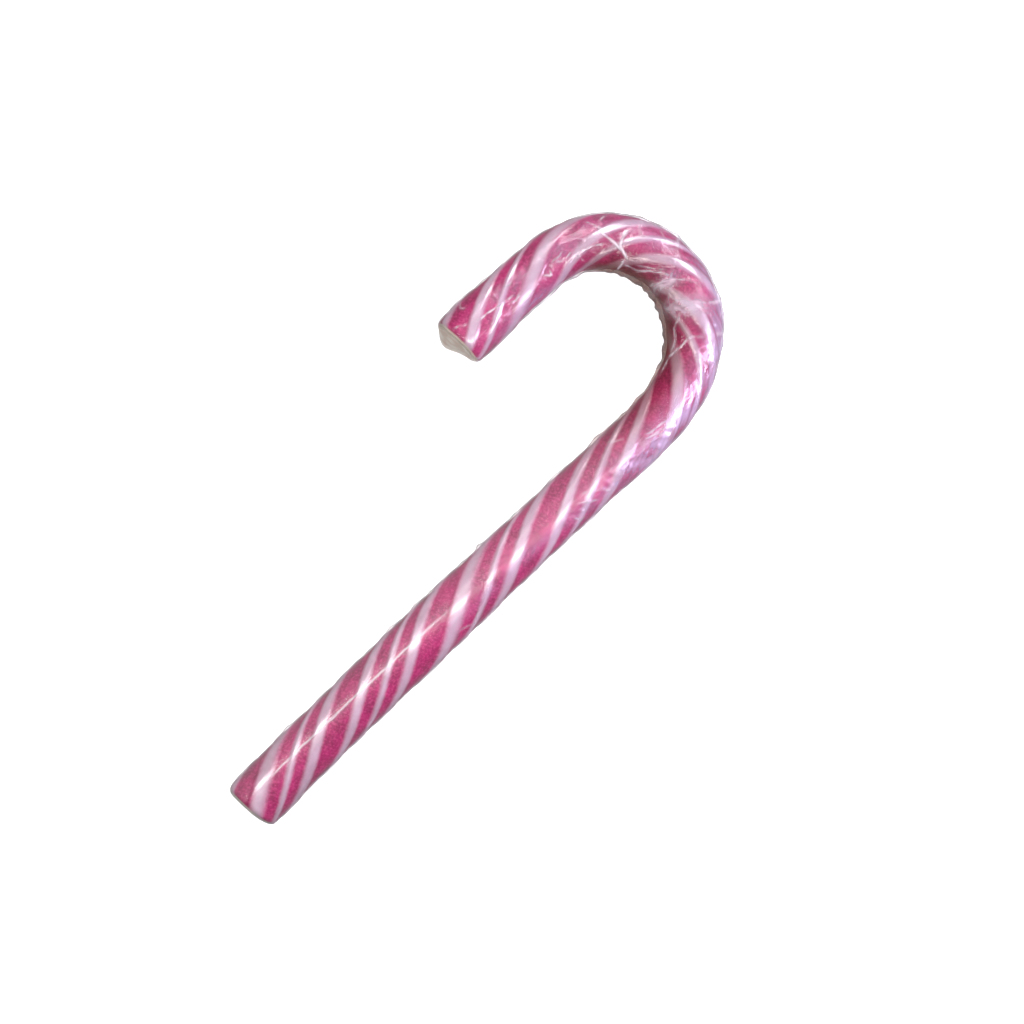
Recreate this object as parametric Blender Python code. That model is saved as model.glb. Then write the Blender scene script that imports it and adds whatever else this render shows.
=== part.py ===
"""A wrapped candy cane, lying on its side.

One boiled-sugar stick, twisted while it was soft so that its six low white stripes run round it as
helices, bent into a crook and sealed in tight clear film. The solid is the whole cane out to the film.
Metres, +Z up. The shaft runs along +Y from its foot, and the crook turns towards -X.
"""

import math

import bmesh
import bpy
from mathutils import Matrix, Vector

NAME = "wrapped_candy_cane"
MM = 0.001
UP = Vector((0.0, 0.0, 1.0))

# The middle line, from the foot to the tip of the crook: length in mm and turn in degrees of each stretch.
STRETCHES = ((107.4, -2.3), (12.1, 18.5), (14.0, 38.4), (37.6, 121.2), (22.9, 3.8))
FIRST_HEADING = 91.15  # degrees from +X
BLEND_LENGTH = 1.6  # mm over which one stretch's curvature passes into the next
WALK_STEP = 0.1  # mm

# Diameter over the film in mm, at distances in mm from the foot.
DIAMETERS = (
    (0.0, 12.3),
    (23.0, 11.7),
    (48.0, 11.9),
    (83.0, 11.3),
    (121.0, 11.4),
    (138.0, 12.7),
    (152.0, 12.4),
    (166.0, 11.2),
    (175.0, 11.0),
    (191.0, 12.0),
)

# The twist: one turn of the stripes takes this length in mm, drawn out longer ahead of the bend.
LEAD = 54.7
LEAD_STRETCH = 0.183
LEAD_STRETCH_AT = 101.8
LEAD_STRETCH_WIDTH = 21.2

# The stripes: place and width of each round the stick, in turns, and how proud they stand.
STRIPES = ((0.062, 0.11), (0.225, 0.028), (0.3585, 0.074), (0.566, 0.059), (0.7035, 0.03), (0.836, 0.069))
STRIPE_SHOULDER = 0.014  # turns
STRIPE_RELIEF = 0.18 * MM
OUTLINE_STEP = 0.055  # longest step between points of the outline, in turns

RING_SPACING = 2.25  # mm
END_ROUND = 1.6  # mm, radius of the rim at both ends
END_ROUND_RINGS = 4
FLAT_DEPTH = 0.14 * MM  # how far the film is pressed flat along the underside

# The end faces. The inner side is the one that the crook turns to.
FOOT_SLOPE = 0.4 * MM  # how much further the foot's cut reaches at its inner edge than in the middle
FOOT_CORNER = 0.6 * MM  # how far its outer corner is worn back
FOOT_PINCH = 0.5 * MM  # how far the foot's inner side is worn in
FOOT_PINCH_DEPTH = 14.0 * MM  # how far up the shaft that fades out
TIP_LEAN = 1.3 * MM  # how much further the tip's cut reaches at its lower edge than at its upper one
TIP_BULGE = 2.0 * MM  # how far the gathered end of the film bulges at the lower edge
TIP_BULGE_AT = -0.3  # across the end, from -1 on the outer side to 1 on the inner
TIP_BULGE_WIDTH = 0.5
SHAPING_DEPTH = 6.0 * MM  # how far back from an end its shaping fades out

TABLE_CUTTER_SIZE = Vector((0.3, 0.4, 0.02))


def clear_scene():
    for item in list(bpy.data.objects):
        bpy.data.objects.remove(item)


def make_collection(name):
    collection = bpy.data.collections.new(name)
    bpy.context.scene.collection.children.link(collection)
    return collection


def wrapped_sugar_material():
    """Clear film over rose and white sugar, as one glossy surface."""
    material = bpy.data.materials.new("wrapped_sugar")
    material.use_nodes = True
    shader = material.node_tree.nodes["Principled BSDF"]
    shader.inputs["Base Color"].default_value = (0.62, 0.16, 0.30, 1.0)
    shader.inputs["Roughness"].default_value = 0.28
    shader.inputs["Metallic"].default_value = 0.0
    return material


def smooth_between(stations, at):
    """The value at a distance along stations of (distance, value), easing in and out of each."""
    for (start, low), (end, high) in zip(stations, stations[1:]):
        if at <= end:
            share = (at - start) / (end - start)
            return low + (high - low) * share * share * (3 - 2 * share)
    return stations[-1][1]


def radius_at(at):
    return smooth_between(DIAMETERS, at) * MM / 2


def full_length():
    return sum(length for length, _ in STRETCHES)


def turn_rate(at):
    """Degrees of turn for each mm of the middle line."""
    rate = 0.0
    start = 0.0
    for index, (length, turn) in enumerate(STRETCHES):
        rise = math.tanh((at - start) / BLEND_LENGTH) if index > 0 else 1.0
        fall = math.tanh((at - start - length) / BLEND_LENGTH) if index < len(STRETCHES) - 1 else -1.0
        rate += turn / length * (rise - fall) / 2
        start += length
    return rate


def lead_at(at):
    bump = math.exp(-(((at - LEAD_STRETCH_AT) / LEAD_STRETCH_WIDTH) ** 2))
    return LEAD * (1 + LEAD_STRETCH * bump)


def direction(heading):
    return Vector((math.cos(heading), math.sin(heading), 0.0))


def walk():
    """The middle line as a list of (distance in mm, point, heading in radians, twist in radians)."""
    heading = math.radians(FIRST_HEADING)
    twist = 0.0
    point = Vector((0.0, 0.0, 0.0))
    steps = [(0.0, point.copy(), heading, twist)]
    for index in range(round(full_length() / WALK_STEP)):
        middle = (index + 0.5) * WALK_STEP
        heading += math.radians(turn_rate(middle)) * WALK_STEP
        twist += 2 * math.pi * WALK_STEP / lead_at(middle)
        point += direction(heading) * WALK_STEP * MM
        steps.append(((index + 1) * WALK_STEP, point.copy(), heading, twist))
    return steps


def ring_places():
    """Where the rings stand: (distance from the foot, inset from the full radius), in mm."""
    rim = []
    for index in range(END_ROUND_RINGS):
        angle = index / END_ROUND_RINGS * math.pi / 2
        rim.append((END_ROUND * (1 - math.cos(angle)), END_ROUND * (1 - math.sin(angle))))
    body = full_length() - 2 * END_ROUND
    count = round(body / RING_SPACING)
    places = list(rim)
    for index in range(count + 1):
        places.append((END_ROUND + body * index / count, 0.0))
    for along, inset in reversed(rim):
        places.append((full_length() - along, inset))
    return places


def outline():
    """Points round the stick: (place in turns, share of the relief). Each stripe is a low flat rib."""
    corners = []
    for place, width in STRIPES:
        corners.append((place - width / 2 - STRIPE_SHOULDER, 0.0))
        corners.append((place - width / 2, 1.0))
        corners.append((place + width / 2, 1.0))
        corners.append((place + width / 2 + STRIPE_SHOULDER, 0.0))
    corners.append((corners[0][0] + 1, 0.0))
    points = []
    for (start, low), (end, high) in zip(corners, corners[1:]):
        parts = math.ceil((end - start) / OUTLINE_STEP)
        for part in range(parts):
            share = part / parts
            points.append((start + (end - start) * share, low + (high - low) * share))
    return points


def outline_curve(collection):
    """The outline at the foot's radius, as a closed curve that the stick is drawn with."""
    points = outline()
    data = bpy.data.curves.new("stick_outline", "CURVE")
    data.dimensions = "2D"
    spline = data.splines.new("POLY")
    spline.points.add(len(points) - 1)
    for target, (place, relief) in zip(spline.points, points):
        reach = radius_at(0.0) - STRIPE_RELIEF * (1 - relief)
        angle = 2 * math.pi * place
        target.co = (reach * math.sin(angle), reach * math.cos(angle), 0.0, 1.0)
    spline.use_cyclic_u = True
    item = bpy.data.objects.new("stick_outline", data)
    item.hide_render = True
    item.display_type = "WIRE"
    collection.objects.link(item)
    return item


def stick_curve(collection, outline_item, steps):
    """The middle line as a curve, each ring with its own thickness and twist, its underside level."""
    places = ring_places()
    data = bpy.data.curves.new("stick_line", "CURVE")
    data.dimensions = "3D"
    data.twist_mode = "Z_UP"
    data.bevel_mode = "OBJECT"
    data.bevel_object = outline_item
    data.use_fill_caps = True
    spline = data.splines.new("POLY")
    spline.points.add(len(places) - 1)
    for target, (at, inset) in zip(spline.points, places):
        _, point, _, twist = steps[round(at / WALK_STEP)]
        target.co = (point.x, point.y, radius_at(at) - FLAT_DEPTH, 1.0)
        target.radius = (radius_at(at) - inset * MM) / radius_at(0.0)
        target.tilt = -twist
    item = bpy.data.objects.new("stick_line", data)
    collection.objects.link(item)
    return item


def solid_from_curve(item, name, collection):
    """A mesh object in place of the curve, its caps welded on."""
    bpy.context.view_layer.update()
    evaluated = item.evaluated_get(bpy.context.evaluated_depsgraph_get())
    mesh = bpy.data.meshes.new_from_object(evaluated)
    shape = bmesh.new()
    shape.from_mesh(mesh)
    bmesh.ops.remove_doubles(shape, verts=shape.verts, dist=0.00001)
    bmesh.ops.recalc_face_normals(shape, faces=shape.faces)
    shape.to_mesh(mesh)
    shape.free()
    solid = bpy.data.objects.new(name, mesh)
    solid.matrix_world = item.matrix_world
    collection.objects.link(solid)
    bpy.data.objects.remove(item)
    return solid


def shape_end(mesh, centre, outward, inner, radius, face):
    """Moves what is near an end along the stick by face(inner, up), both from -1 to 1 across the end."""
    for vertex in mesh.vertices:
        arm = vertex.co - centre
        depth = max(0.0, -arm.dot(outward))
        if depth < SHAPING_DEPTH and arm.length < SHAPING_DEPTH + radius:
            move = face(arm.dot(inner) / radius, arm.dot(UP) / radius)
            vertex.co += outward * move * (1 - depth / SHAPING_DEPTH)


def foot_face(inner, up):
    """A flat cut, a little askew, with its outer corner worn round."""
    return FOOT_SLOPE * inner - FOOT_CORNER * max(0.0, -inner) ** 3


def tip_face(inner, up):
    """A cut that leans back at the top, with the film gathered over it."""
    bulge = math.exp(-(((inner - TIP_BULGE_AT) / TIP_BULGE_WIDTH) ** 2))
    return (TIP_LEAN + TIP_BULGE * bulge) * (1 - up) / 2


def pinch_foot(solid, steps):
    """Wears the inner side of the shaft in towards the foot."""
    _, point, heading, _ = steps[0]
    centre = point + UP * (radius_at(0.0) - FLAT_DEPTH)
    ahead = direction(heading)
    inner = UP.cross(ahead)
    for vertex in solid.data.vertices:
        arm = vertex.co - centre
        along = arm.dot(ahead)
        beside = arm.dot(inner) / radius_at(0.0)
        if 0.0 < beside < 1.5 and along < FOOT_PINCH_DEPTH:
            fade = min(1.0, 1 - along / FOOT_PINCH_DEPTH)
            vertex.co -= inner * FOOT_PINCH * beside * fade**2


def shape_both_ends(solid, steps):
    for index, sense, face in ((0, -1, foot_face), (-1, 1, tip_face)):
        at, point, heading, _ = steps[index]
        centre = point + UP * (radius_at(at) - FLAT_DEPTH)
        ahead = direction(heading)
        shape_end(solid.data, centre, ahead * sense, UP.cross(ahead), radius_at(at), face)


def table_cutter(collection):
    """A block that fills the space below the surface the cane rests on."""
    mesh = bpy.data.meshes.new("table")
    shape = bmesh.new()
    bmesh.ops.create_cube(shape, size=1.0, matrix=Matrix.Diagonal(TABLE_CUTTER_SIZE).to_4x4())
    shape.to_mesh(mesh)
    shape.free()
    item = bpy.data.objects.new("table", mesh)
    item.location = (0.0, 0.0, -TABLE_CUTTER_SIZE.z / 2)
    item.hide_render = True
    item.display_type = "WIRE"
    collection.objects.link(item)
    return item


def cut_away(solid, cutter):
    cut = solid.modifiers.new("rest", "BOOLEAN")
    cut.operation = "DIFFERENCE"
    cut.solver = "EXACT"
    cut.object = cutter


def centre_on_origin(solid):
    """Puts the middle of the outline, seen from above, over the origin."""
    xs = [vertex.co.x for vertex in solid.data.vertices]
    ys = [vertex.co.y for vertex in solid.data.vertices]
    solid.location = (-(min(xs) + max(xs)) / 2, -(min(ys) + max(ys)) / 2, 0.0)


def main():
    clear_scene()
    parts = make_collection("candy_cane")
    cutters = make_collection("cutters")
    steps = walk()
    line = stick_curve(parts, outline_curve(cutters), steps)
    cane = solid_from_curve(line, NAME, parts)
    shape_both_ends(cane, steps)
    pinch_foot(cane, steps)
    centre_on_origin(cane)
    cut_away(cane, table_cutter(cutters))
    cane.data.materials.clear()
    cane.data.materials.append(wrapped_sugar_material())


main()
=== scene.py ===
"""The looks of the wrapped candy cane: a twisted stick of rose and white sugar in a sleeve of clear film.

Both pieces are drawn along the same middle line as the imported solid, which repeats part.py's sizes.
A place on them is (at, around): mm along the middle line from the foot, and degrees round it from
straight up, positive towards the inner side, which is the side that the crook turns to.
"""

import math

import bmesh
import bpy
import numpy as np
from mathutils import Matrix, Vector, noise


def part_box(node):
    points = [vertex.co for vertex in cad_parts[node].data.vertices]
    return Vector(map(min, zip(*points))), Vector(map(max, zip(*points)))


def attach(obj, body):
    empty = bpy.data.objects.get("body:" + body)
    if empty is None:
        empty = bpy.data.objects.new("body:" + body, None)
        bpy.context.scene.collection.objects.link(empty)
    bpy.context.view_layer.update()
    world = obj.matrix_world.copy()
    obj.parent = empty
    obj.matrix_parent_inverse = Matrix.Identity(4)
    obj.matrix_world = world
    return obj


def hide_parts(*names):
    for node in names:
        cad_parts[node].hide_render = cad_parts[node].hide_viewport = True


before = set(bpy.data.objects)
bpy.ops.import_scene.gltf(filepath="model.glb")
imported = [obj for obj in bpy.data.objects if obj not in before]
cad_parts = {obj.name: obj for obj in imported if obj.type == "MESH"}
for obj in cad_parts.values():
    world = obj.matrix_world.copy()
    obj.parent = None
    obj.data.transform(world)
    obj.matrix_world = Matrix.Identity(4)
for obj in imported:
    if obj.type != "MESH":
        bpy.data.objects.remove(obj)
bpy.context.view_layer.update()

NODE = "wrapped_candy_cane"
MM = 0.001

# The middle line, as in part.py: length in mm and turn in degrees of each stretch.
STRETCHES = ((107.4, -2.3), (12.1, 18.5), (14.0, 38.4), (37.6, 121.2), (22.9, 3.8))
FIRST_HEADING = 91.15  # degrees from +X
BLEND_LENGTH = 1.6  # mm
WALK_STEP = 0.1  # mm
FULL_LENGTH = sum(length for length, _ in STRETCHES)

# Diameter over the film in mm, at distances in mm from the foot, as in part.py.
DIAMETERS = (
    (0.0, 12.3),
    (23.0, 11.7),
    (48.0, 11.9),
    (83.0, 11.3),
    (121.0, 11.4),
    (138.0, 12.7),
    (152.0, 12.4),
    (166.0, 11.2),
    (175.0, 11.0),
    (191.0, 12.0),
)
MEAN_RADIUS = 5.8  # mm
FLAT_DEPTH = 0.14  # mm, how far the film is pressed flat along the underside

# The twist, as in part.py: one turn of the stripes takes this length in mm.
LEAD = 54.7
LEAD_STRETCH = 0.183
LEAD_STRETCH_AT = 101.8
LEAD_STRETCH_WIDTH = 21.2

# Place and width of each stripe round the stick, in turns, as in part.py.
STRIPES = ((0.062, 0.11), (0.225, 0.028), (0.3585, 0.074), (0.566, 0.059), (0.7035, 0.03), (0.836, 0.069))
STRIPE_SHOULDER = 0.016  # turns
STRIPE_RELIEF = 0.2  # mm

# The white of each stripe, in turns: its place, its width and how wide its edges fade into the rose.
STRIPE_COLOURS = (
    (0.062, 0.083, 0.07),
    (0.2235, 0.037, 0.036),
    (0.357, 0.064, 0.042),
    (0.568, 0.059, 0.04),
    (0.706, 0.038, 0.037),
    (0.838, 0.06, 0.042),
)

# The end faces, as in part.py, in mm.
FOOT_SLOPE = 0.4
FOOT_CORNER = 0.6
FOOT_PINCH = 0.5
FOOT_PINCH_DEPTH = 14.0
TIP_LEAN = 1.3
TIP_BULGE = 2.0
TIP_BULGE_AT = -0.3
TIP_BULGE_WIDTH = 0.5
SHAPING_DEPTH = 6.0

# The sugar inside the film, in mm.
SIDE_GAP = 0.22  # between sugar and film at the sides
TOP_GAP = 0.12
END_GAP = 0.3
FILM_THICKNESS = 0.04
BEND_AT = 141.0  # where the film stands furthest off
BEND_WIDTH = 17.0
BEND_GAP = 0.42  # how much further off it stands there
BEND_SHIFT = 0.3  # by how much the sugar lies nearer the outer side there
SUGAR_ROUND = 1.1  # radius of its rims
SUGAR_RINGS = 460
SUGAR_COLUMNS = 144
SUGAR_END_SHARES = (0.0, 0.25, 0.45, 0.62, 0.74)  # shares of the radius where its end faces have rings
SUGAR_LUMPS = ((9.0, 0.05), (3.0, 0.03))  # size and height of its unevenness
CORE_INSET = 0.35  # mm from the side of the stick to the white core of its end faces

# The film, in mm.
FILM_ROUND = 1.4  # radius of its rims
FILM_END_SHARES = (0.0, 0.11, 0.22, 0.33, 0.44, 0.54, 0.63, 0.7)
FILM_STEP_SHAFT = 0.36  # between its rings
FILM_STEP_CROOK = 0.26
FILM_CROOK_FROM = 84.0  # where the closer rings start
FILM_TOP_REACH = 100.0  # degrees each way from straight up where its columns stand closer
FILM_TOP_COLUMNS = 112
FILM_UNDER_COLUMNS = 32
ROUND_RINGS = 6

# Where the film is bunched on the inner side of the bend: place, height and width of each pucker in mm.
PUCKERS = (
    (120.5, 0.18, 1.2),
    (125.6, 0.42, 1.5),
    (129.6, 0.2, 0.7),
    (134.4, 0.22, 0.9),
    (137.6, 0.5, 1.3),
    (141.6, 0.2, 0.8),
    (144.2, 0.36, 0.9),
    (148.2, 0.28, 1.4),
    (152.6, 0.34, 1.2),
    (156.6, 0.3, 1.2),
    (166.4, 0.2, 1.6),
    (174.5, 0.22, 2.4),
)
# Smaller bumps of the film along its edge on the inner side, and on the outer side.
INNER_NICKS = (
    (16.5, 0.26, 1.0),
    (38.8, 0.18, 0.8),
    (45.0, 0.26, 0.9),
    (51.5, 0.21, 0.8),
    (55.6, 0.18, 0.8),
    (64.0, 0.18, 1.0),
    (68.6, 0.44, 0.6),
    (78.0, 0.21, 1.2),
    (88.8, 0.23, 1.4),
    (99.7, 0.39, 1.4),
    (107.0, 0.26, 1.0),
    (112.0, 0.21, 1.2),
    (165.7, 0.18, 1.0),
    (180.0, 0.16, 1.4),
)
OUTER_NICKS = (
    (128.6, 0.2, 0.8),
    (135.7, 0.26, 0.8),
    (146.9, 0.3, 0.5),
    (153.0, 0.22, 1.1),
    (182.5, 0.18, 1.0),
)
NICK_SIDE = 92.0  # degrees round where they stand, and their spread
NICK_SPREAD = 26.0
PUCKER_FROM = 38.0  # degrees round where they start and are full
PUCKER_FULL = 74.0
PUCKER_UNDER = 150.0  # and where they start to fade and are gone
PUCKER_GONE = 180.0
PUCKER_LEAN = 1.4  # mm by which they lean along the stick as they go round
PUCKER_LEAN_WAVES = 1.5  # over the whole way round
PUCKER_WAVER = (2.5, 0.5)  # mm, size of their wavering and how far it goes

# Where the crumpled film is milky, and where a lavender sheen and highlights are painted on it: middle and
# width in mm, middle and width in degrees, how white.
SHEENS = (
    (111.0, 15.0, -44.0, 34.0, 0.82),
    (92.0, 11.0, -38.0, 22.0, 0.28),
    (128.0, 11.0, -62.0, 34.0, 0.8),
    (72.0, 13.0, -26.0, 12.0, 0.3),
    (141.0, 8.0, -60.0, 26.0, 0.42),
    (152.0, 12.0, -38.0, 34.0, 0.26),
    (166.0, 8.0, -4.0, 24.0, 0.26),
    (136.0, 1.8, 12.0, 44.0, 0.34),
    (142.4, 1.4, 22.0, 34.0, 0.3),
    (180.0, 10.0, -4.0, 20.0, 0.2),
    (180.0, 10.0, 54.0, 14.0, 0.4),
    (97.0, 1.2, -40.0, 10.0, 0.7),
    (100.0, 1.2, -25.0, 10.0, 0.7),
    (108.5, 1.5, -50.0, 10.0, 0.7),
    (113.5, 2.8, -30.0, 15.0, 0.85),
    (118.5, 1.6, -48.0, 12.0, 0.8),
)
SHEEN_SHARE = 0.78  # of the whiteness listed
SHEEN_MEAN = 0.74  # its mean share, and how much it varies in patches and in streaks
SHEEN_PATCHY = 0.5
SHEEN_STREAKY = 0.7
SHEEN_MOST = 1.4
SHEEN_PATCH = 3.4  # mm
SHEEN_STREAK = (0.8, 3.6)  # mm, width and length of its streaks, which run with the stripes
STRIPE_SLOPE = 1.6  # mm along for each mm round, which the stripes run at there

# Painted shade on the inner side of the bend: where the film's tint darkens the sugar there, and where the
# bunched film is painted brown, in mm and degrees.
SHADE = (84.0, 116.0, 154.0, 170.0)  # mm along where it starts, is full, fades and ends
SHADE_FROM = -32.0
SHADE_FULL = 56.0
BUNCH_SHADE = (118.0, 126.0, 156.0, 168.0)
BUNCH_SHADE_FROM = 36.0
BUNCH_SHADE_FULL = 64.0
DARK_UNDER = 200.0  # degrees round by which the underside is clear again

# Above the straight fold the film lies double and veils the sugar a little; this veil is partly a painted
# reflection of the light on that side.
VEIL = 0.06
VEIL_EDGE = 12.0  # degrees round at the foot, and by how much less for each mm along
VEIL_DRIFT = 0.19
VEIL_SOFTNESS = 3.0  # degrees each way over which that edge fades
VEIL_UNDER = (90.0, 130.0)  # degrees round over which it ends towards the underside
VEIL_END = (96.0, 118.0)  # mm along over which it ends

# The straight fold along the shaft: its route in (mm, degrees), height and width in mm, and how white.
FOLD = (((3.0, 12.0), (12.0, 13.0), (22.0, 12.0), (34.0, 10.0), (46.0, 8.5), (58.0, 6.0)), 0.04, 0.3, 0.5)

# Creases in the film: a route over it in (mm, degrees), then height and width in mm, and how white.
CREASES = (
    # crossed creases low on the shaft's outer side
    (((54.5, -38.0), (57.0, -52.0), (58.5, -64.0)), 0.06, 0.25, 0.35),
    (((56.5, -64.0), (58.0, -52.0), (60.5, -38.0)), 0.06, 0.25, 0.3),
    # the curved crease ahead of the bend
    (((99.0, 62.0), (100.2, 45.0), (101.6, 33.0), (103.0, 24.0), (104.6, 14.0)), 0.08, 0.22, 0.35),
    (((98.6, 80.0), (99.0, 62.0), (99.6, 52.0)), 0.08, 0.3, 0.3),
    # the edge of the crumpled stretch, and the folds across it
    (((86.5, -4.0), (92.0, -8.0), (98.0, -8.0), (104.0, -4.0), (107.0, -2.0)), 0.07, 0.3, 0.15),
    (((107.0, -1.0), (109.0, -9.0), (112.0, -13.0)), 0.10, 0.25, 0.5),
    (((106.6, -7.0), (108.6, -18.0), (110.4, -34.0), (110.6, -50.0)), 0.10, 0.25, 0.45),
    (((108.2, -14.0), (110.8, -24.0), (111.6, -30.0)), 0.08, 0.2, 0.4),
    (((90.2, -4.0), (91.4, -10.0), (90.6, -15.0), (91.8, -20.0)), 0.08, 0.2, 0.4),
    (((88.4, -14.0), (90.4, -28.0), (92.4, -44.0)), 0.07, 0.25, 0.35),
    (((92.4, -18.0), (94.0, -30.0), (95.4, -46.0)), 0.07, 0.25, 0.3),
    (((86.0, -34.0), (86.8, -46.0), (88.0, -58.0)), 0.07, 0.25, 0.35),
    # the long arc where the bend begins, and its branch
    (
        (
            (119.4, 57.0),
            (122.4, 55.0),
            (124.6, 47.0),
            (126.2, 34.0),
            (128.2, 20.0),
            (129.5, 4.0),
            (129.6, -16.0),
        ),
        0.12,
        0.3,
        0.55,
    ),
    (
        ((124.6, 45.0), (128.0, 41.0), (131.2, 42.0), (133.4, 29.0), (136.0, 22.0), (140.0, 24.0)),
        0.1,
        0.3,
        0.4,
    ),
    # folds over the outer side of the bend
    (((136.6, 10.0), (135.9, -14.0), (135.2, -40.0), (135.0, -80.0)), 0.12, 0.3, 0.5),
    (((130.0, -42.0), (130.3, -64.0), (130.2, -88.0)), 0.14, 0.35, 0.45),
    (((132.6, -60.0), (133.6, -75.0), (133.2, -90.0)), 0.12, 0.3, 0.4),
    (((144.2, -26.0), (146.2, -50.0), (146.6, -86.0)), 0.14, 0.3, 0.5),
    (((148.4, -40.0), (149.2, -56.0), (148.0, -72.0)), 0.1, 0.25, 0.4),
    (((151.6, -14.0), (152.6, -40.0), (153.0, -88.0)), 0.14, 0.35, 0.25),
    # milky bands across the bend, where the film lies in a soft fold
    (((136.8, 56.0), (136.6, 38.0), (135.8, 10.0), (135.2, -34.0)), 0.03, 2.3, 0.34),
    (((142.6, 58.0), (142.8, 44.0), (141.6, 20.0), (141.2, 0.0)), 0.03, 1.4, 0.34),
    # the knot of creases inside the bend
    (((139.0, -26.0), (140.8, -6.0), (142.4, 12.0), (143.2, 34.0), (144.6, 58.0)), 0.11, 0.26, 0.5),
    (((141.0, 56.0), (142.0, 34.0), (141.2, 14.0), (140.2, 2.0)), 0.1, 0.26, 0.4),
    (((137.0, 44.0), (139.6, 30.0), (142.2, 14.0), (143.8, -4.0)), 0.1, 0.24, 0.35),
    (((142.8, 8.0), (145.4, 21.0), (147.6, 33.0), (149.4, 46.0)), 0.11, 0.24, 0.6),
    (((144.4, 8.0), (147.0, 24.0), (150.6, 34.0)), 0.08, 0.24, 0.35),
    (((147.0, 34.0), (150.0, 44.0), (153.6, 42.0)), 0.08, 0.26, 0.35),
    # the white knot over the top of the hook
    (((154.9, 62.0), (154.0, 44.0), (153.4, 30.0)), 0.1, 0.3, 0.5),
    (
        ((152.8, 32.0), (153.8, 21.0), (155.0, 9.0), (155.1, -6.0), (154.6, -20.0), (153.8, -32.0)),
        0.16,
        0.34,
        0.9,
    ),
    (((154.2, 20.0), (156.4, 4.0), (158.2, -9.0), (159.2, -20.0), (159.4, -36.0)), 0.16, 0.3, 0.85),
    (((159.4, -36.0), (158.8, -50.0), (158.2, -64.0)), 0.12, 0.28, 0.5),
    (((159.2, -24.0), (160.4, -38.0), (161.6, -48.0)), 0.1, 0.24, 0.5),
    (((157.4, 5.0), (160.4, 9.0), (163.0, 14.0), (164.4, 20.0), (163.4, 40.0)), 0.1, 0.26, 0.6),
    # crinkles along the hook
    (((165.2, 6.0), (166.4, 16.0), (168.2, 19.0), (169.4, 11.0)), 0.09, 0.24, 0.4),
    (((166.8, -2.0), (168.0, 7.0), (170.2, 9.0), (170.8, 20.0)), 0.08, 0.24, 0.35),
    (((171.2, 18.0), (172.0, 30.0), (173.0, 19.0)), 0.14, 0.3, 0.6),
    (((173.8, -2.0), (175.4, -8.0), (177.0, -4.0)), 0.08, 0.24, 0.3),
    (((178.6, 13.0), (180.4, 20.0), (181.6, 14.0)), 0.1, 0.24, 0.45),
    (((180.0, 9.0), (182.2, 7.0), (185.0, 2.5), (187.2, 1.0), (188.8, -4.0)), 0.12, 0.24, 0.75),
    (((177.8, -16.0), (179.2, -13.0), (180.6, -15.0)), 0.08, 0.2, 0.4),
    (((188.6, -38.0), (189.2, -52.0), (188.6, -68.0)), 0.08, 0.26, 0.3),
    (((190.4, -10.0), (191.8, -18.0), (193.0, -26.0)), 0.1, 0.24, 0.5),
)
CREASE_WHITE = 0.85  # of the whiteness listed
CREASE_RISE = 0.6  # of the heights listed
CREASE_WIDTH = 0.95  # of the widths listed
CREASE_WAVER = 0.22  # mm by which a crease strays from its route
CREASE_WAVER_SIZE = 1.7  # mm
CREASE_TAPER = 0.18  # share of its length over which it fades at each end
CREASE_END_SHARE = 0.25  # how much of it is left there
CREASE_MOST = 0.95  # the whitest that one can be
# How the white of a crease breaks up along it: its mean share, how much that varies, over how many mm.
BREAK_MEAN = 0.75
BREAK_DEPTH = 0.9
BREAK_SIZE = 1.1
BREAK_LEAST = 0.25

# Crumpled stretches: middle and width along in mm, middle and width round in degrees, and strength.
CRUMPLES = (
    (100.0, 20.0, -48.0, 44.0, 1.0),
    (128.0, 18.0, -46.0, 46.0, 1.0),
    (146.0, 16.0, 10.0, 80.0, 0.9),
    (166.0, 12.0, 12.0, 50.0, 0.8),
    (181.0, 9.0, 6.0, 46.0, 0.55),
    (60.0, 60.0, 180.0, 90.0, 0.5),
    (150.0, 40.0, 180.0, 90.0, 0.8),
)
CRUMPLE_BASE = 0.12  # strength everywhere else
CRUMPLE_HEIGHTS = ((2.6, 0.16), (1.2, 0.07))  # size and height in mm of its facets
RIDGE_STEEPNESS = 2.5
RIDGE_SINK = 0.4  # taken off, so that the film also sinks between its ridges

FLOOR_GLOW = 0.85  # strength of the floor's own light, which keeps it white
PULL_SCALE = 20.0  # of the fine ripples across the sugar, about 0.57 mm apart

# How far apart the noise of one seed lies from that of the next.
WANDER_APART = 31.7
STREAKS_APART = 7.3

# Places over an UV unit, in mm, so that it is square on both pieces.
UV_UNIT = 2 * math.pi * MEAN_RADIUS

# Camera: straight above, turned so that the shaft runs up to the right.
CAMERA_TURN = 46.54  # degrees
CAMERA_MIDDLE = (12.48, 8.36)  # mm
CAMERA_DISTANCE = 0.9  # m, to the middle of the cane's thickness
CAMERA_AIM_HEIGHT = 6.0
FRAME_WIDTH = 202.2  # mm, at that distance
SENSOR_WIDTH = 36.0


def smooth_between(stations, at):
    """Values at distances along stations of (distance, value), easing in and out of each."""
    places, values = (np.array(column) for column in zip(*stations))
    index = np.clip(np.searchsorted(places, at) - 1, 0, len(places) - 2)
    share = np.clip((at - places[index]) / (places[index + 1] - places[index]), 0.0, 1.0)
    return values[index] + (values[index + 1] - values[index]) * share * share * (3 - 2 * share)


def smooth_step(low, high, value):
    share = np.clip((value - low) / (high - low), 0.0, 1.0)
    return share * share * (3 - 2 * share)


def hump(value, middle, width):
    return np.exp(-(((value - middle) / width) ** 2))


def film_radius(at):
    return smooth_between(DIAMETERS, np.clip(at, 0.0, FULL_LENGTH)) / 2


# ---------------------------------------------------------------- the middle line


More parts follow.
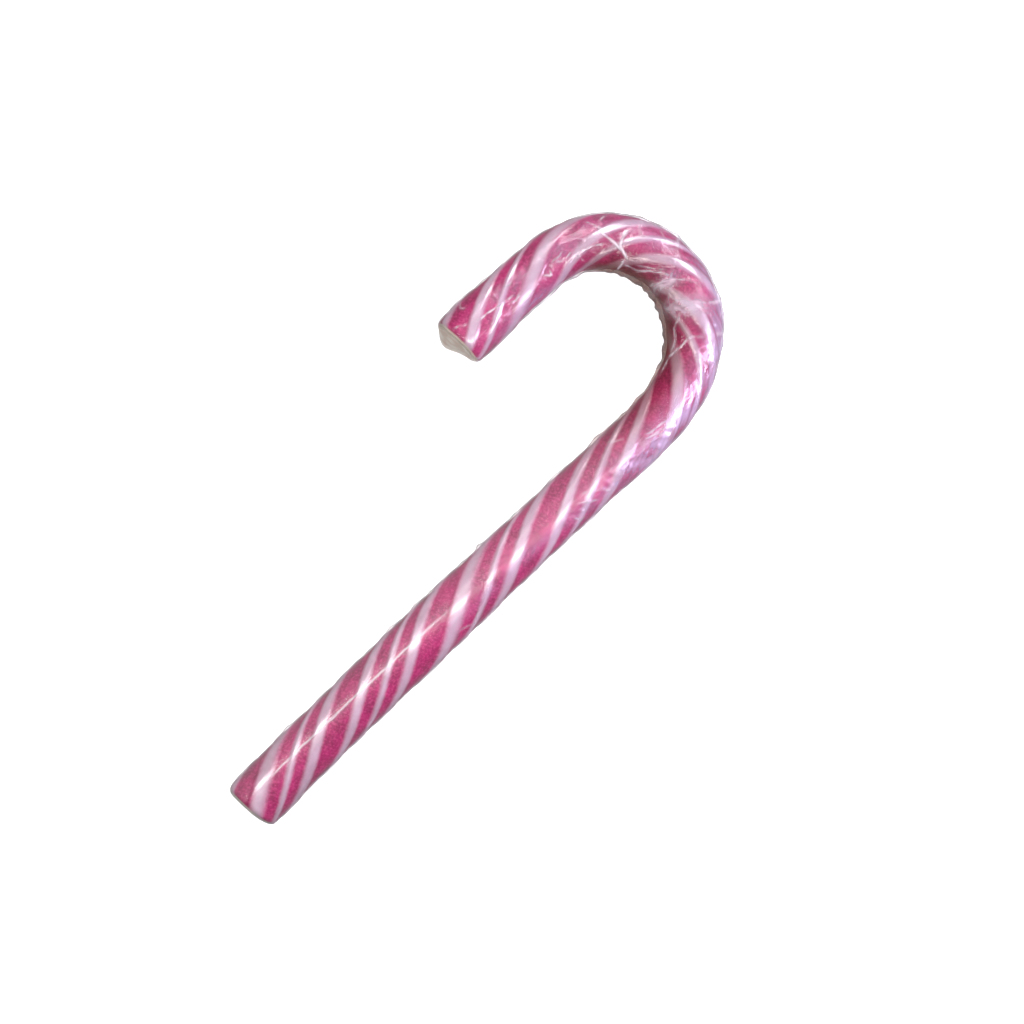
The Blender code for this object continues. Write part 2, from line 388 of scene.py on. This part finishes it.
def turn_rate(at):
    """Degrees of turn for each mm of the middle line."""
    rate = np.zeros_like(at)
    start = 0.0
    for index, (length, turn) in enumerate(STRETCHES):
        rise = np.tanh((at - start) / BLEND_LENGTH) if index > 0 else 1.0
        fall = np.tanh((at - start - length) / BLEND_LENGTH) if index < len(STRETCHES) - 1 else -1.0
        rate += turn / length * (rise - fall) / 2
        start += length
    return rate


def walk():
    """The middle line every WALK_STEP: distance, x, y, heading in radians, twist in turns."""
    middles = (np.arange(round(FULL_LENGTH / WALK_STEP)) + 0.5) * WALK_STEP
    heading = math.radians(FIRST_HEADING) + np.cumsum(np.radians(turn_rate(middles))) * WALK_STEP
    lead = LEAD * (1 + LEAD_STRETCH * hump(middles, LEAD_STRETCH_AT, LEAD_STRETCH_WIDTH))
    line = {
        "at": np.append(0.0, middles + WALK_STEP / 2),
        "x": np.append(0.0, np.cumsum(np.cos(heading)) * WALK_STEP),
        "y": np.append(0.0, np.cumsum(np.sin(heading)) * WALK_STEP),
        "heading": np.append(math.radians(FIRST_HEADING), heading),
        "twist": np.append(0.0, np.cumsum(WALK_STEP / lead)),
    }
    return place_in_frame(line)


def place_in_frame(line):
    """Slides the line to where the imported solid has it."""
    low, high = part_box(NODE)
    reach_x = film_radius(line["at"]) * np.abs(np.sin(line["heading"]))
    reach_y = film_radius(line["at"]) * np.abs(np.cos(line["heading"]))
    middle_x = ((line["x"] - reach_x).min() + (line["x"] + reach_x).max()) / 2
    line["x"] += (low.x + high.x) / 2 / MM - middle_x
    line["y"] += high.y / MM - (line["y"] + reach_y).max()
    return line


LINE = walk()


def on_line(name, at):
    """The line's x, y, heading or twist at distances along it."""
    return np.interp(at, LINE["at"], LINE[name])


# ---------------------------------------------------------------- shapes round the line


def foot_face(inner, up):
    """How far the foot's cut stands out, across the end from -1 to 1: askew, its outer corner worn."""
    return FOOT_SLOPE * inner - FOOT_CORNER * np.maximum(0.0, -inner) ** 3


def tip_face(inner, up):
    """How far the tip's cut stands out: it leans back at the top, with the film gathered over it."""
    bulge = hump(inner, TIP_BULGE_AT, TIP_BULGE_WIDTH)
    return (TIP_LEAN + TIP_BULGE * bulge) * (1 - up) / 2


def end_shaping(at, inner, up):
    """How far a point moves along the line because of the shape of the ends."""
    foot = -foot_face(inner, up) * np.clip(1 - at / SHAPING_DEPTH, 0.0, 1.0)
    tip = tip_face(inner, up) * np.clip(1 - (FULL_LENGTH - at) / SHAPING_DEPTH, 0.0, 1.0)
    return foot + tip


def foot_pinch(at, inner):
    """How far the inner side is worn in towards the foot."""
    fade = np.clip(1 - at / FOOT_PINCH_DEPTH, 0.0, 1.0)
    return FOOT_PINCH * np.maximum(0.0, inner) * fade**2


def place(at, inner, up, height):
    """Points in metres, from mm along the line, mm to the inner side and mm above a height."""
    radius = film_radius(at)
    along = at + end_shaping(at, inner / radius, up / radius)
    inner = inner - foot_pinch(at, inner / radius)
    heading = on_line("heading", along)
    beyond = along - np.clip(along, 0.0, FULL_LENGTH)
    x = on_line("x", along) + beyond * np.cos(heading) - inner * np.sin(heading)
    y = on_line("y", along) + beyond * np.sin(heading) + inner * np.cos(heading)
    return np.stack((x, y, np.maximum(height + up, 0.0)), axis=-1) * MM


def stripe_rise(turns):
    """1 on the stripes and 0 between them, at places round the stick in turns."""
    rise = np.zeros_like(turns)
    for middle, width in STRIPES:
        apart = np.abs((turns - middle + 0.5) % 1.0 - 0.5)
        inside, outside = width / 2 - STRIPE_SHOULDER, width / 2 + STRIPE_SHOULDER
        rise = np.maximum(rise, 1 - smooth_step(inside, outside, apart))
    return rise


def ring_profile(start, end, body_places, end_shares, round_radius):
    """Rings from the middle of one end face to the middle of the other: (place, share, inset)."""
    face = [(0.0, share, 0.0) for share in end_shares]
    rim = []
    for index in range(ROUND_RINGS):
        angle = index / ROUND_RINGS * math.pi / 2
        rim.append((round_radius * (1 - math.cos(angle)), 1.0, round_radius * (1 - math.sin(angle))))
    first = [(start + depth, share, inset) for depth, share, inset in face + rim]
    last = [(end - depth, share, inset) for depth, share, inset in reversed(face + rim)]
    body = [(at, 1.0, 0.0) for at in body_places]
    return np.array(first + body + last)


def closed_grid(name, points, turns, at, attributes, material):
    """A closed tube from rings of points that shrink to a point at each end, with UVs and attributes."""
    rings, columns = points.shape[:2]
    numbers = np.arange(rings * columns).reshape(rings, columns)
    beside = np.roll(numbers, -1, axis=1)
    quads = np.stack((numbers[:-1], numbers[1:], beside[1:], beside[:-1]), axis=-1)
    mesh = bpy.data.meshes.new(name)
    mesh.from_pydata(points.reshape(-1, 3).tolist(), [], quads.reshape(-1, 4).tolist())
    u = np.append(turns, turns[0] + 1)
    u_grid, v_grid = np.meshgrid(u, at / UV_UNIT)
    uv = np.stack((u_grid, v_grid), axis=-1)
    corners = np.stack((uv[:-1, :-1], uv[1:, :-1], uv[1:, 1:], uv[:-1, 1:]), axis=2)
    mesh.uv_layers.new(name="place").data.foreach_set("uv", corners.astype(np.float32).ravel())
    for label, values in attributes.items():
        attribute = mesh.attributes.new(label, "FLOAT", "POINT")
        attribute.data.foreach_set("value", values.astype(np.float32).ravel())
    mesh.materials.append(material)
    close_ends(mesh)
    item = bpy.data.objects.new(name, mesh)
    bpy.context.scene.collection.objects.link(item)
    return item


def close_ends(mesh):
    """Merges each end's last ring, which has shrunk to a point, and turns the smooth faces outwards."""
    shape = bmesh.new()
    shape.from_mesh(mesh)
    bmesh.ops.remove_doubles(shape, verts=shape.verts, dist=0.000001)
    if shape.calc_volume(signed=True) < 0:
        bmesh.ops.reverse_faces(shape, faces=shape.faces)
    shape.to_mesh(mesh)
    shape.free()
    mesh.shade_smooth()


def noise_at(*axes):
    """Smooth noise from about -1 to 1 at points given by three arrays."""
    spots = np.stack(axes, axis=-1).reshape(-1, 3)
    return np.array([noise.noise(spot) for spot in spots.tolist()]).reshape(axes[0].shape)


def wander(at, around, size, seed):
    """Smooth noise over the surface, with features of a size in mm."""
    angle = np.radians(around)
    across = MEAN_RADIUS * np.sin(angle) / size
    up = MEAN_RADIUS * np.cos(angle) / size
    return noise_at(at / size + WANDER_APART * seed, across, up)


# ---------------------------------------------------------------- the sugar stick


def lumps(at, around):
    """Height of the sugar's unevenness, coarse and fine."""
    (coarse, high), (fine, low) = SUGAR_LUMPS
    return high * wander(at, around, coarse, 1) + low * wander(at, around, fine, 2)


def make_sugar(material):
    """The stick inside the film, which stands further off it in the bend."""
    body = np.linspace(END_GAP + SUGAR_ROUND, FULL_LENGTH - END_GAP - SUGAR_ROUND, SUGAR_RINGS)
    profile = ring_profile(END_GAP, FULL_LENGTH - END_GAP, body, SUGAR_END_SHARES, SUGAR_ROUND)
    ring_at, share, inset = profile.T
    turns = np.arange(SUGAR_COLUMNS) / SUGAR_COLUMNS
    at, place_round = np.meshgrid(ring_at, turns, indexing="ij")
    around = 360 * (on_line("twist", at) - place_round)
    full = film_radius(at)
    slack = hump(at, BEND_AT, BEND_WIDTH)
    half_width = full - SIDE_GAP - BEND_GAP * slack
    top = 2 * full - FLAT_DEPTH - TOP_GAP - BEND_GAP * slack
    half_height = (top - FILM_THICKNESS) / 2
    relief = STRIPE_RELIEF * (stripe_rise(place_round) - 1) + lumps(at, around)
    scale = share[:, None]
    inner = (half_width - inset[:, None] + relief) * np.sin(np.radians(around)) * scale
    up = (half_height - inset[:, None] + relief) * np.cos(np.radians(around)) * scale
    points = place(at, inner - BEND_SHIFT * slack, up, FILM_THICKNESS + half_height)
    core = np.broadcast_to((inset[:, None] > CORE_INSET) | (scale < 1), at.shape) * 1.0
    return closed_grid("sugar", points, turns, ring_at, {"core": core}, material)


# ---------------------------------------------------------------- the film


def film_angles():
    """Degrees round the film of its columns, closer together where they face up."""
    top = np.linspace(-FILM_TOP_REACH, FILM_TOP_REACH, FILM_TOP_COLUMNS, endpoint=False)
    under = np.linspace(FILM_TOP_REACH, 360 - FILM_TOP_REACH, FILM_UNDER_COLUMNS, endpoint=False)
    return np.append(top, under)


def film_rings():
    """Places in mm along the film of its rings, closer together over the crook and ahead of it."""
    shaft = np.arange(FILM_ROUND, FILM_CROOK_FROM, FILM_STEP_SHAFT)
    crook = np.arange(FILM_CROOK_FROM, FULL_LENGTH - FILM_ROUND, FILM_STEP_CROOK)
    return np.append(shaft, crook)


def puckers(at, around):
    """Height of the film's bunched folds on the inner side of the bend, with its small bumps."""
    height = np.zeros_like(at)
    size, most = PUCKER_WAVER
    lean = PUCKER_LEAN * np.sin(np.radians(around) * PUCKER_LEAN_WAVES) + most * wander(at, around, size, 3)
    for middle, rise, width in PUCKERS:
        height += rise * hump(at + lean, middle + PUCKER_LEAN, width)
    reach = smooth_step(PUCKER_FROM, PUCKER_FULL, around)
    reach = reach * (1 - smooth_step(PUCKER_UNDER, PUCKER_GONE, around))
    return height * reach + nicks(at, around)


def nicks(at, around):
    """Height of the small bumps along the film's two edges."""
    inner = np.zeros_like(at)
    for middle, rise, width in INNER_NICKS:
        inner += rise * hump(at, middle, width)
    outer = np.zeros_like(at)
    for middle, rise, width in OUTER_NICKS:
        outer += rise * hump(at, middle, width)
    height = inner * hump(around, NICK_SIDE, NICK_SPREAD)
    for side in (360 - NICK_SIDE, -NICK_SIDE):
        height += outer * hump(around, side, NICK_SPREAD)
    return height


def crease_share(at, around, route, width):
    """How much of a crease there is at each place: 1 on its line, fading across it and at its ends."""
    stops = [(mm, math.radians(degrees) * MEAN_RADIUS) for mm, degrees in route]
    lengths = [math.dist(*pair) for pair in zip(stops, stops[1:])]
    across = np.radians(around) * MEAN_RADIUS
    nearest = np.full_like(at, np.inf)
    run = np.zeros_like(at)
    before = 0.0
    for (start, end), length in zip(zip(stops, stops[1:]), lengths):
        way = ((end[0] - start[0]) / length, (end[1] - start[1]) / length)
        gone = np.clip((at - start[0]) * way[0] + (across - start[1]) * way[1], 0.0, length)
        apart = np.hypot(at - start[0] - gone * way[0], across - start[1] - gone * way[1])
        closer = apart < nearest
        nearest = np.where(closer, apart, nearest)
        run = np.where(closer, before + gone, run)
        before += length
    ends = np.minimum(run, before - run) / (before * CREASE_TAPER)
    strength = CREASE_END_SHARE + (1 - CREASE_END_SHARE) * smooth_step(0.0, 1.0, ends)
    return hump(nearest, 0.0, CREASE_WIDTH * width) * strength


def creases(at, around):
    """Height and whiteness of all the film's creases."""
    at = at + CREASE_WAVER * wander(at, around, CREASE_WAVER_SIZE, 4)
    around = around + math.degrees(CREASE_WAVER / MEAN_RADIUS) * wander(at, around, CREASE_WAVER_SIZE, 5)
    height = np.zeros_like(at)
    white = np.zeros_like(at)
    broken = np.clip(BREAK_MEAN + BREAK_DEPTH * wander(at, around, BREAK_SIZE, 8), BREAK_LEAST, 1.0)
    for route, rise, width, whiteness in CREASES:
        share = crease_share(at, around, route, width)
        height = np.maximum(height, CREASE_RISE * rise * share)
        white = np.maximum(white, whiteness * share * broken)
    route, rise, width, whiteness = FOLD
    share = crease_share(at, around, route, width)
    height = np.maximum(height, rise * share)
    white = np.maximum(white, whiteness * share)
    return height, np.minimum(CREASE_WHITE * white, CREASE_MOST)


def streaks(at, around, width, length, seed):
    """Smooth noise drawn out along the stripes."""
    across = np.radians(around) * MEAN_RADIUS
    long_way = (STRIPE_SLOPE * at + across) / math.hypot(STRIPE_SLOPE, 1.0)
    short_way = (at - STRIPE_SLOPE * across) / math.hypot(STRIPE_SLOPE, 1.0)
    return noise_at(long_way / length, short_way / width, np.full_like(at, STREAKS_APART * seed))


def milkiness_and_painted_sheen(at, around):
    """How white the crumpled film looks, in patches, with its painted sheen and highlights."""
    white = np.zeros_like(at)
    for middle, width, side, spread, strength in SHEENS:
        white = np.maximum(white, strength * hump(at, middle, width) * hump(around, side, spread))
    patches = SHEEN_MEAN + SHEEN_PATCHY * wander(at, around, SHEEN_PATCH, 9)
    patches = patches + SHEEN_STREAKY * streaks(at, around, *SHEEN_STREAK, 10)
    return white * np.clip(patches, 0.0, SHEEN_MOST)


def painted_shade_share(at, around, places, start_angle, full_angle):
    """How much painted shade the film lays over the inner side, between places along the stick."""
    start, full, fading, end = places
    along = smooth_step(start, full, at) * (1 - smooth_step(fading, end, at))
    on_inner_side = smooth_step(start_angle, full_angle, around)
    return along * on_inner_side * (1 - smooth_step(PUCKER_UNDER, DARK_UNDER, around))


def veil_and_painted_reflection(at, around):
    """How much the doubled film above the straight fold veils the sugar, partly as a painted reflection."""
    edge = VEIL_EDGE - VEIL_DRIFT * at
    above = smooth_step(edge - VEIL_SOFTNESS, edge + VEIL_SOFTNESS, around)
    return VEIL * above * (1 - smooth_step(*VEIL_UNDER, around)) * (1 - smooth_step(*VEIL_END, at))


def crumple_share(at, around):
    """How crumpled the film is."""
    share = np.full_like(at, CRUMPLE_BASE)
    for middle, width, side, spread, strength in CRUMPLES:
        apart = (around - side + 180.0) % 360.0 - 180.0
        share = np.maximum(share, strength * hump(at, middle, width) * hump(apart, 0.0, spread))
    return share


def crumple(at, around):
    """Height of the film's fine facets: ridges where smooth noise changes sign."""
    height = np.zeros_like(at)
    for seed, (size, rise) in enumerate(CRUMPLE_HEIGHTS, start=6):
        ridge = 1 - np.minimum(1.0, RIDGE_STEEPNESS * np.abs(wander(at, around, size, seed)))
        height += rise * (ridge - RIDGE_SINK)
    return height * crumple_share(at, around)


def make_film(material):
    """The film over the stick, with the amounts that its material reads at each point."""
    profile = ring_profile(0.0, FULL_LENGTH, film_rings(), FILM_END_SHARES, FILM_ROUND)
    ring_at, share, inset = profile.T
    angles = film_angles()
    at, around = np.meshgrid(ring_at, angles, indexing="ij")
    turns = on_line("twist", at) - around / 360
    crease_height, haze = creases(at, around)
    # the veil's white is partly painted reflection, laid on the film as haze
    haze = np.maximum(haze, veil_and_painted_reflection(at, around))
    # painted sheen and highlights on the crumpled film and over the hook
    sheen = milkiness_and_painted_sheen(at, np.where(around > 180, around - 360, around))
    relief = STRIPE_RELIEF * (stripe_rise(turns) - 1) + puckers(at, around) + crumple(at, around)
    radius = film_radius(at) - inset[:, None] + relief + crease_height
    inner = radius * np.sin(np.radians(around)) * share[:, None]
    up = radius * np.cos(np.radians(around)) * share[:, None]
    points = place(at, inner, up, film_radius(at) - FLAT_DEPTH)
    on_tip = ring_at > FULL_LENGTH / 2
    gathered = np.where(share < 1, 1.0, inset / FILM_ROUND) * on_tip
    looks = {
        "haze": haze,
        "sheen": sheen,
        # painted shade over the inner side of the bend
        "shade": painted_shade_share(at, around, SHADE, SHADE_FROM, SHADE_FULL),
        # painted shade: where the bunched film inside the bend is painted brown
        "bunched_painted_shade": painted_shade_share(at, around, BUNCH_SHADE, BUNCH_SHADE_FROM, BUNCH_SHADE_FULL),
        "crumple": crumple_share(at, around),
        "cap": np.broadcast_to(gathered[:, None], at.shape),
        "face": np.broadcast_to(share[:, None] < 1, at.shape) * 1.0,
    }
    return closed_grid("film", points, angles / 360, ring_at, looks, material)


# ---------------------------------------------------------------- materials


class Graph:
    """A material's nodes, added one at a time with their inputs."""

    def __init__(self, name):
        self.material = bpy.data.materials.new(name)
        self.material.use_nodes = True
        self.tree = self.material.node_tree
        self.tree.nodes.clear()

    def add(self, kind, inputs=None, **settings):
        node = self.tree.nodes.new("ShaderNode" + kind)
        for label, value in settings.items():
            setattr(node, label, value)
        for label, value in (inputs or {}).items():
            self.plug(node.inputs[label], value)
        return node

    def plug(self, socket, value):
        if isinstance(value, bpy.types.Node):
            value = value.outputs[0]
        if isinstance(value, bpy.types.NodeSocket):
            self.tree.links.new(value, socket)
        else:
            socket.default_value = value

    def math(self, operation, first, second=0.0, third=0.0):
        inputs = {0: first, 1: second, 2: third}
        return self.add("Math", inputs, operation=operation)

    def mix(self, share, first, second):
        """One colour into another."""
        node = self.add("Mix", {0: share, 6: first, 7: second}, data_type="RGBA")
        return node.outputs[2]

    def map(self, value, low, high, to_low=0.0, to_high=1.0):
        inputs = {"Value": value, "From Min": low, "From Max": high, "To Min": to_low, "To Max": to_high}
        return self.add("MapRange", inputs, interpolation_type="SMOOTHSTEP")

    def attribute(self, name):
        return self.add("Attribute", attribute_name=name).outputs["Fac"]

    def cover(self, share, under, over):
        """One surface with a share of another over it."""
        return self.add("MixShader", {"Fac": share, 1: under, 2: over})

    def finish(self, surface):
        output = self.add("OutputMaterial")
        self.tree.links.new(surface.outputs[0], output.inputs["Surface"])
        return self.material


def colour(red, green, blue):
    """An sRGB colour from 0 to 255 as the linear one that nodes use."""
    linear = []
    for value in (red / 255, green / 255, blue / 255):
        linear.append(value / 12.92 if value <= 0.04045 else ((value + 0.055) / 1.055) ** 2.4)
    return (*linear, 1.0)


def stripe_mask(graph, turns):
    """A ramp over the places round the stick: white on the stripes, with soft edges."""
    ramp = graph.add("ValToRGB", {"Fac": turns})
    elements = ramp.color_ramp.elements
    elements[0].position = 0.0
    elements[0].color = (0, 0, 0, 1)
    elements[1].position = 1.0
    elements[1].color = (0, 0, 0, 1)
    ramp.color_ramp.interpolation = "EASE"
    for middle, width, edge in STRIPE_COLOURS:
        for side in (-1, 1):
            for reach, value in ((width / 2 - edge / 2, 1.0), (width / 2 + edge / 2, 0.0)):
                stop = elements.new(middle + side * reach)
                stop.color = (value, value, value, 1)
    return ramp


def sugar_material():
    """Cloudy rose sugar with white stripes, which alone have a coat, and a pale core on the end faces."""
    graph = Graph("sugar")
    spot = graph.add("TexCoord").outputs["Object"]
    place_uv = graph.add("UVMap", uv_map="place")
    edge_noise = graph.add("TexNoise", {"Vector": spot, "Scale": 700.0, "Detail": 2.0})
    wobble = graph.math("MULTIPLY_ADD", edge_noise, 0.016, -0.008)
    mask = stripe_mask(graph, graph.math("ADD", graph.add("SeparateXYZ", {0: place_uv}), wobble))
    cloud = graph.add("TexNoise", {"Vector": spot, "Scale": 240.0, "Detail": 4.0, "Roughness": 0.6})
    speckle = graph.add("TexNoise", {"Vector": spot, "Scale": 1700.0, "Detail": 2.0, "Roughness": 0.7})
    slanted = graph.add("Mapping", {"Vector": place_uv, "Rotation": (0.0, 0.0, math.radians(72))})
    wave = {"Vector": slanted, "Scale": PULL_SCALE, "Distortion": 1.5, "Detail": 1.0}
    pulls = graph.add("TexWave", wave)
    grain = graph.math("MULTIPLY_ADD", pulls.outputs["Fac"], 0.07, speckle)
    rose = graph.mix(graph.map(cloud, 0.34, 0.66), colour(146, 6, 80), colour(186, 22, 106))
    rose = graph.mix(graph.map(grain, 0.4, 0.78, 0.0, 0.56), rose, colour(224, 78, 140))
    white = graph.mix(graph.map(cloud, 0.3, 0.7), colour(200, 162, 184), colour(220, 187, 209))
    white = graph.mix(graph.map(speckle, 0.42, 0.7, 0.35, 0.0), white, colour(226, 166, 196))
    base = graph.mix(mask, rose, white)
    base = graph.mix(graph.attribute("core"), base, colour(224, 212, 196))
    bump = graph.add("Bump", {"Strength": 0.3, "Distance": 0.0002, "Height": speckle})
    polish = {
        "Roughness": 0.38,
        "Specular IOR Level": 0.75,
        "Coat Weight": mask,
        "Coat Roughness": 0.24,
        "Coat IOR": 3.0,
    }
    return graph.finish(graph.add("BsdfPrincipled", {"Base Color": base, "Normal": bump, **polish}))


def film_normal(graph):
    """Fine ripples, and sharp facets where the film is crumpled, but none on the end faces."""
    uv = graph.add("UVMap", uv_map="place")
    ripple = graph.add("TexNoise", {"Vector": uv, "Scale": 40.0, "Detail": 2.0})
    sharp = {"noise_type": "RIDGED_MULTIFRACTAL"}
    facets = graph.add("TexNoise", {"Vector": uv, "Scale": 20.0, "Detail": 3.0}, **sharp)
    facets = graph.math("MULTIPLY", facets, graph.attribute("crumple"))
    relief = graph.math("MULTIPLY", facets, 0.6)
    relief = graph.math("MULTIPLY_ADD", ripple, 0.04, relief)
    side = graph.math("SUBTRACT", 1.0, graph.attribute("face"))
    height = graph.math("MULTIPLY", relief, side)
    return graph.add("Bump", {"Strength": 1.0, "Distance": 0.0003, "Height": height})


def clear_film(graph, facing, side):
    """See-through film, grey where it is seen edge-on, with painted shade inside the bend: a darker tint,
    and brown where it is bunched.
    """
    # painted shade: the see-through tint turns darker and browner towards the inner side of the bend
    tint = graph.mix(graph.attribute("shade"), (0.97, 0.965, 0.97, 1), (0.76, 0.65, 0.63, 1))
    film = graph.add("BsdfTransparent", {"Color": tint})
    rim = graph.math("MULTIPLY", graph.math("POWER", facing, 4.0), side)
    grey = graph.add("BsdfDiffuse", {"Color": colour(132, 120, 124)})
    film = graph.cover(graph.math("MULTIPLY", rim, 0.9), film, grey)
    # painted shade: an opaque brown laid over the bunched film inside the bend
    painted_brown_shade = graph.add("BsdfDiffuse", {"Color": colour(116, 76, 66)})
    return graph.cover(graph.math("MULTIPLY", graph.attribute("bunched_painted_shade"), 0.5), film, painted_brown_shade)


def milky_film_with_painted_sheen(graph, film, haze, bump):
    """The same film with its satin sheen and a painted lavender sheen where it is crumpled, and its white
    creases.
    """
    # painted sheen: a lavender colour that stands in for the bluish light reflected off the crumpled film
    painted_lavender_sheen = graph.add("BsdfDiffuse", {"Color": colour(241, 206, 252)})
    satin = {"Color": colour(236, 226, 255), "Roughness": 0.42, "Normal": bump}
    milky_painted_sheen = graph.cover(0.5, painted_lavender_sheen, graph.add("BsdfGlossy", satin))
    sheen = graph.math("MULTIPLY", graph.attribute("sheen"), SHEEN_SHARE)
    # white of the creases, and of the veil, which is partly painted reflection
    white = graph.add("BsdfDiffuse", {"Color": colour(252, 244, 252)})
    return graph.cover(haze, graph.cover(sheen, film, milky_painted_sheen), white)


def gathered_film(graph, bump):
    """The film bunched together over the tip."""
    spot = graph.add("TexCoord").outputs["Object"]
    folds = graph.add("TexNoise", {"Vector": spot, "Scale": 500.0})
    cream = graph.mix(graph.map(folds, 0.35, 0.65), colour(232, 214, 200), colour(255, 250, 240))
    return graph.add("BsdfPrincipled", {"Base Color": cream, "Roughness": 0.4, "Normal": bump})


def film_material():
    """Clear film, glossier where it is seen edge-on, with the gathered film over the tip."""
    graph = Graph("film")
    bump = film_normal(graph)
    facing = graph.add("LayerWeight", {"Blend": 0.5, "Normal": bump}).outputs["Facing"]
    haze = graph.attribute("haze")
    cap = graph.attribute("cap")
    side = graph.math("SUBTRACT", 1.0, cap)
    film = milky_film_with_painted_sheen(graph, clear_film(graph, facing, side), haze, bump)
    shine = graph.math("MULTIPLY_ADD", haze, 0.12, 0.015)
    shine = graph.math("MULTIPLY_ADD", graph.attribute("crumple"), 0.05, shine)
    steep = graph.math("MULTIPLY", graph.math("POWER", facing, 5.0), side)
    shine = graph.math("MULTIPLY_ADD", steep, 0.9, shine)
    gloss = graph.add("BsdfGlossy", {"Color": (1, 1, 1, 1), "Roughness": 0.26, "Normal": bump})
    film = graph.cover(shine, film, gloss)
    cap_share = graph.math("MULTIPLY", graph.math("POWER", cap, 1.6), 0.88)
    return graph.finish(graph.cover(cap_share, film, gathered_film(graph, bump)))


def floor_material():
    """Matt white with a light of its own."""
    graph = Graph("floor")
    spot = graph.add("TexCoord").outputs["Object"]
    grain = graph.add("TexNoise", {"Vector": spot, "Scale": 900.0, "Detail": 2.0})
    tone = graph.mix(grain, (0.93, 0.93, 0.93, 1), (0.95, 0.95, 0.95, 1))
    glow = {"Emission Color": (1, 1, 1, 1), "Emission Strength": FLOOR_GLOW}
    return graph.finish(graph.add("BsdfPrincipled", {"Base Color": tone, "Roughness": 0.9, **glow}))


# ---------------------------------------------------------------- the studio


def make_floor():
    bpy.ops.mesh.primitive_plane_add(size=6.0, location=(0.0, 0.0, 0.0))
    floor = bpy.context.object
    floor.name = "floor"
    floor.data.materials.append(floor_material())
    floor.visible_glossy = False
    floor.visible_diffuse = False


def aim(item, target):
    """Turns a light to face a place."""
    item.rotation_euler = (Vector(target) - item.location).to_track_quat("-Z", "Y").to_euler()


def panel(name, location, target, size, tint, radiance, turn=0.0):
    """A soft rectangular light of a given brightness, turned by some degrees about the way it faces."""
    light = bpy.data.lights.new(name, "AREA")
    light.shape = "RECTANGLE"
    light.size, light.size_y = size
    light.color = tint
    light.energy = radiance * math.pi * size[0] * size[1]
    item = bpy.data.objects.new(name, light)
    item.location = location
    item.visible_camera = False
    bpy.context.scene.collection.objects.link(item)
    aim(item, target)
    item.rotation_euler.rotate_axis("Z", math.radians(turn))
    return item


def make_lights():
    middle = (0.0, 0.0, 0.0)
    under_key = (0.012, -0.019, 0.0)
    panel("key", (0.012, -0.019, 0.12), under_key, (0.22, 0.014), (1.0, 0.97, 0.95), 8.6, 33.0)
    panel("lamp", (0.5, 0.04, 0.75), (0.0, 0.04, 0.0), (0.2, 0.14), (0.82, 0.8, 1.0), 1.6)
    panel("window", (0.56, 0.56, 0.42), middle, (0.4, 0.4), (0.84, 0.9, 1.0), 2.7)
    panel("near", (0.15, 0.1, 0.1), (0.02, 0.05, 0.0), (0.07, 0.07), (0.86, 0.75, 1.0), 11.5)
    panel("sky", (0.0, 0.79, 0.42), middle, (0.4, 0.4), (0.95, 0.96, 1.0), 5.4)
    panel("wall", (-0.56, 0.56, 0.42), middle, (0.4, 0.4), (1.0, 0.99, 0.95), 2.9)
    panel("left", (-0.45, 0.0, 0.78), middle, (0.35, 0.35), (1.0, 0.96, 0.93), 1.0)
    panel("hook", (-0.105, 0.1, 0.1), (-0.015, 0.045, 0.0), (0.06, 0.06), (1.0, 0.96, 1.0), 5.4)
    panel("top", (0.0, 0.0, 1.2), middle, (0.6, 0.6), (0.95, 0.97, 1.0), 0.5)
    panel("front", (0.0, -0.85, 0.16), middle, (0.6, 0.3), (1.0, 0.6, 0.5), 0.5)


def make_world():
    world = bpy.data.worlds.new("studio")
    world.use_nodes = True
    background = world.node_tree.nodes["Background"]
    background.inputs["Color"].default_value = (1.0, 0.99, 1.0, 1.0)
    background.inputs["Strength"].default_value = 0.34
    bpy.context.scene.world = world


def make_camera():
    data = bpy.data.cameras.new("camera")
    data.sensor_width = SENSOR_WIDTH
    data.lens = SENSOR_WIDTH * CAMERA_DISTANCE / (FRAME_WIDTH * MM)
    camera = bpy.data.objects.new("camera", data)
    height = CAMERA_DISTANCE + CAMERA_AIM_HEIGHT * MM
    camera.location = (CAMERA_MIDDLE[0] * MM, CAMERA_MIDDLE[1] * MM, height)
    camera.rotation_euler = (0.0, 0.0, math.radians(CAMERA_TURN))
    bpy.context.scene.collection.objects.link(camera)
    bpy.context.scene.camera = camera


def main():
    bpy.context.scene.view_settings.view_transform = "Standard"
    sugar = make_sugar(sugar_material())
    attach(sugar, "root")
    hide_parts(NODE)
    film = make_film(film_material())
    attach(film, "root")
    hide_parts(NODE)
    make_floor()
    make_lights()
    make_world()
    make_camera()


main()
